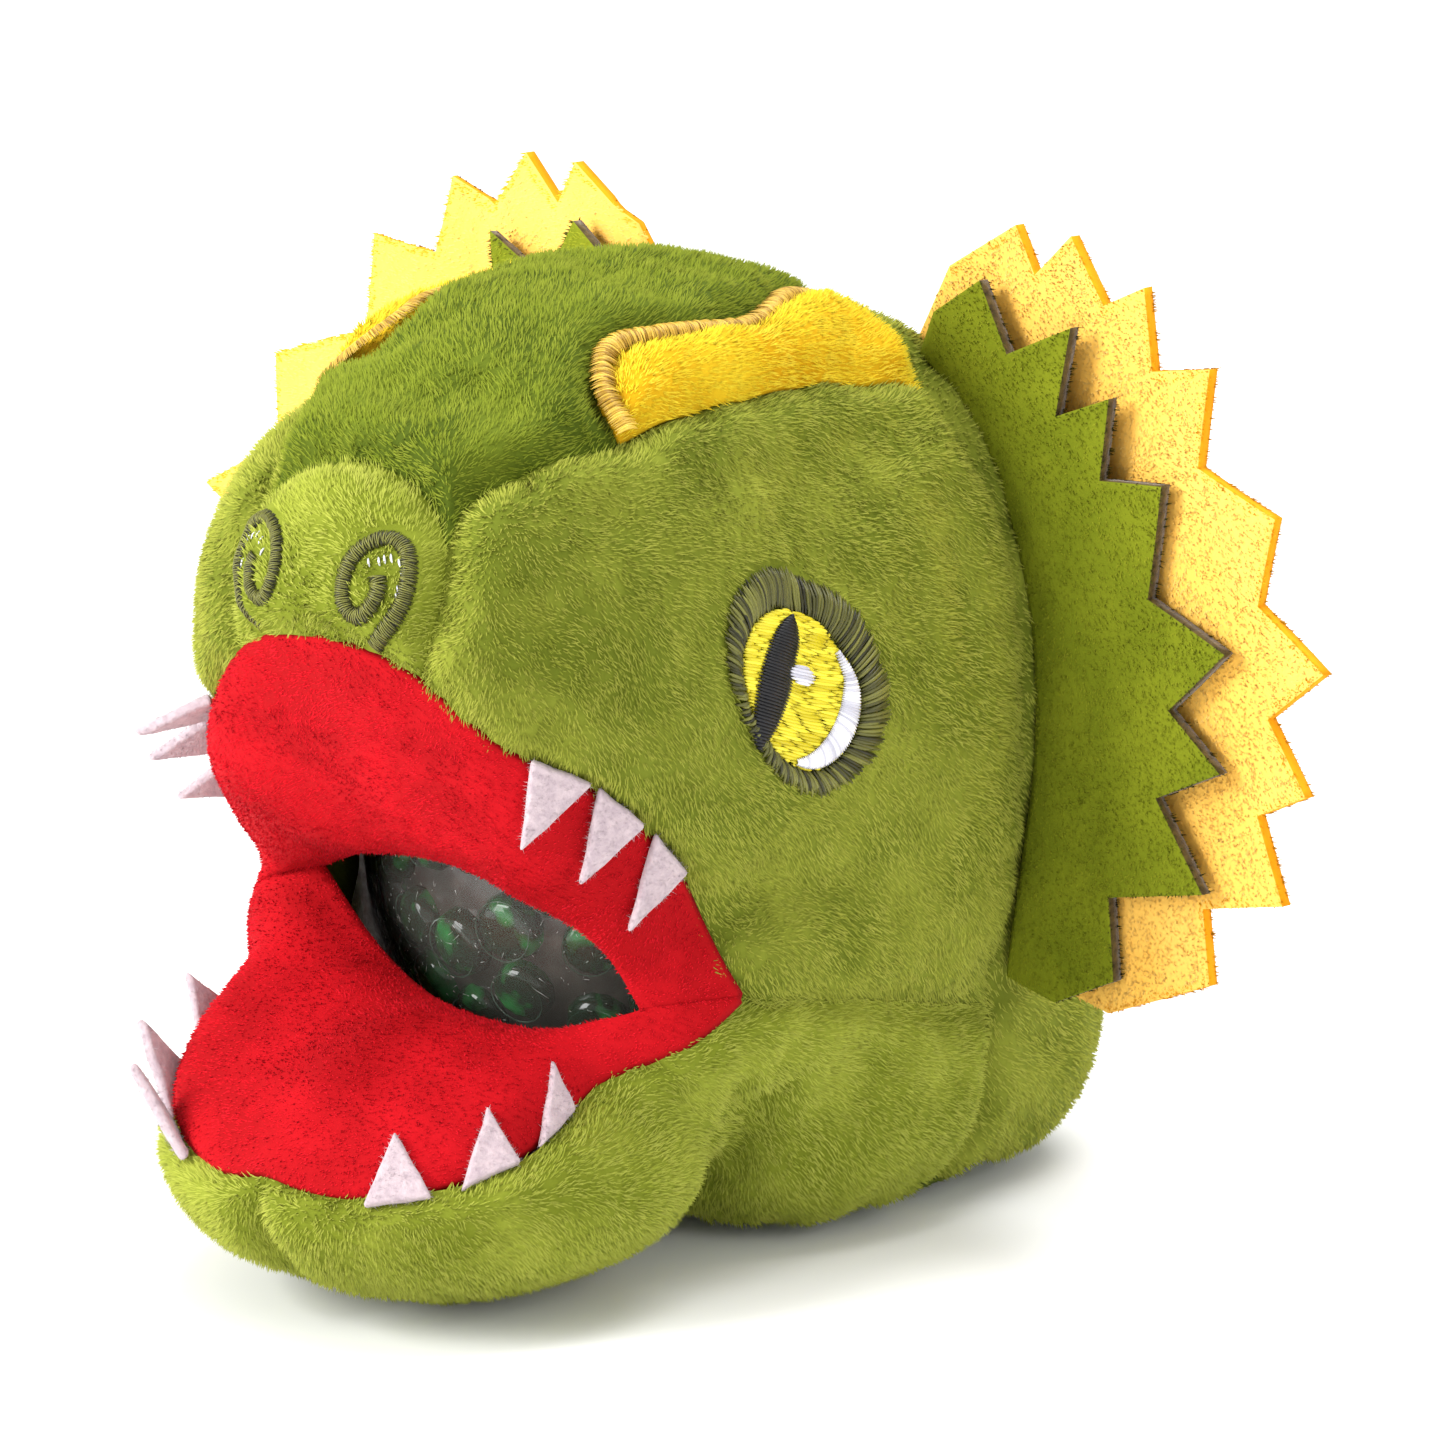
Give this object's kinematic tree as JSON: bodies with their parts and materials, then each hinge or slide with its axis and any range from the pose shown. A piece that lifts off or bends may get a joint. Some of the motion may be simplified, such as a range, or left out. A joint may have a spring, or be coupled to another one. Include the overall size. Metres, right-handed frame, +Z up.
{
  "type": "plush dinosaur head squeeze toy",
  "caption": "Plush dinosaur head with a layered zigzag frill, felt teeth and a clear gel-bead squeeze ball behind its open mouth.",
  "frame": {"origin": "on the floor, in the middle of the base panel", "axes": "+Z up, the face looks along -Y, +X is the dinosaur's own left; X = 0 is the plane of symmetry"},
  "size_m": [0.1396, 0.1058, 0.0977],
  "materials": {
    "plush_green": "short pile plush",
    "plush_light_green": "short pile plush",
    "plush_dark_green": "short pile plush",
    "plush_yellow": "short pile plush",
    "plush_red": "short pile plush",
    "felt_white": "pressed felt",
    "thread_olive": "satin stitch",
    "thread_yellow": "fill stitch",
    "thread_black": "satin stitch",
    "thread_grey": "satin stitch",
    "fibre_filling": "loose fibre",
    "clear_soft_skin": "clear, glossy",
    "gel_beads": "wet gel"
  },
  "bodies": {
    "head": {"nose_panel": "plush_light_green", "crown_panel": "plush_dark_green", "brow_crest_left": "plush_yellow", "brow_crest_right": "plush_yellow", "cheek_panel_left": "plush_green", "cheek_panel_right": "plush_green", "lower_side_cloth_left": "plush_light_green", "lower_side_cloth_right": "plush_light_green", "back_panel_left": "plush_green", "back_panel_right": "plush_green", "base_panel": "plush_dark_green", "upper_mouth_lining": "plush_red", "head_filling": "fibre_filling", "nostril_swirl_left": "thread_olive", "nostril_swirl_right": "thread_olive", "eye_rim_left": "thread_olive", "eye_rim_right": "thread_olive", "eye_iris_left": "thread_yellow", "eye_iris_right": "thread_yellow", "eye_pupil_left": "thread_black", "eye_pupil_right": "thread_black", "eye_highlight_left": "thread_grey", "eye_highlight_right": "thread_grey", "eye_glint_left": "thread_grey", "eye_glint_right": "thread_grey", "upper_tooth_front_left": "felt_white", "upper_tooth_front_right": "felt_white", "upper_tooth_middle_left": "felt_white", "upper_tooth_middle_right": "felt_white", "upper_tooth_rear_left": "felt_white", "upper_tooth_rear_right": "felt_white"},
    "jaw": {"jaw_panel_left": "plush_light_green", "jaw_panel_right": "plush_light_green", "lower_mouth_lining": "plush_red", "jaw_filling": "fibre_filling", "lower_tooth_front_left": "felt_white", "lower_tooth_front_right": "felt_white", "lower_tooth_middle_left": "felt_white", "lower_tooth_middle_right": "felt_white", "lower_tooth_rear_left": "felt_white", "lower_tooth_rear_right": "felt_white"},
    "ball": {"ball_skin": "clear_soft_skin", "ball_filling": "gel_beads", "ball_plug": "clear_soft_skin"},
    "frill_left": {"green_frill_left": "plush_green", "yellow_frill_left": "plush_yellow"},
    "frill_right": {"green_frill_right": "plush_green", "yellow_frill_right": "plush_yellow"}
  },
  "joints": [
    {"name": "jaw_flex", "type": "hinge", "parent": "head", "child": "jaw", "pos_m": [0, -0.038, 0.03], "axis": [-1, 0, 0], "range_deg": [0, 8], "stiffness_Nm_per_rad": 0.6},
    {"name": "ball_push", "type": "slide", "parent": "head", "child": "ball", "axis": [0, -1, 0], "range_m": [0, 0.002], "stiffness_N_per_m": 400},
    {"name": "frill_left_fold", "type": "hinge", "parent": "head", "child": "frill_left", "pos_m": [0.03, 0.0029, 0.02], "axis": [-0.1357, 0.0271, 0.9904], "range_deg": [-6, 25], "stiffness_Nm_per_rad": 0.02},
    {"name": "frill_right_fold", "type": "hinge", "parent": "head", "child": "frill_right", "pos_m": [-0.03, 0.0029, 0.02], "axis": [-0.1357, -0.0271, -0.9904], "range_deg": [-6, 25], "stiffness_Nm_per_rad": 0.02}
  ]
}
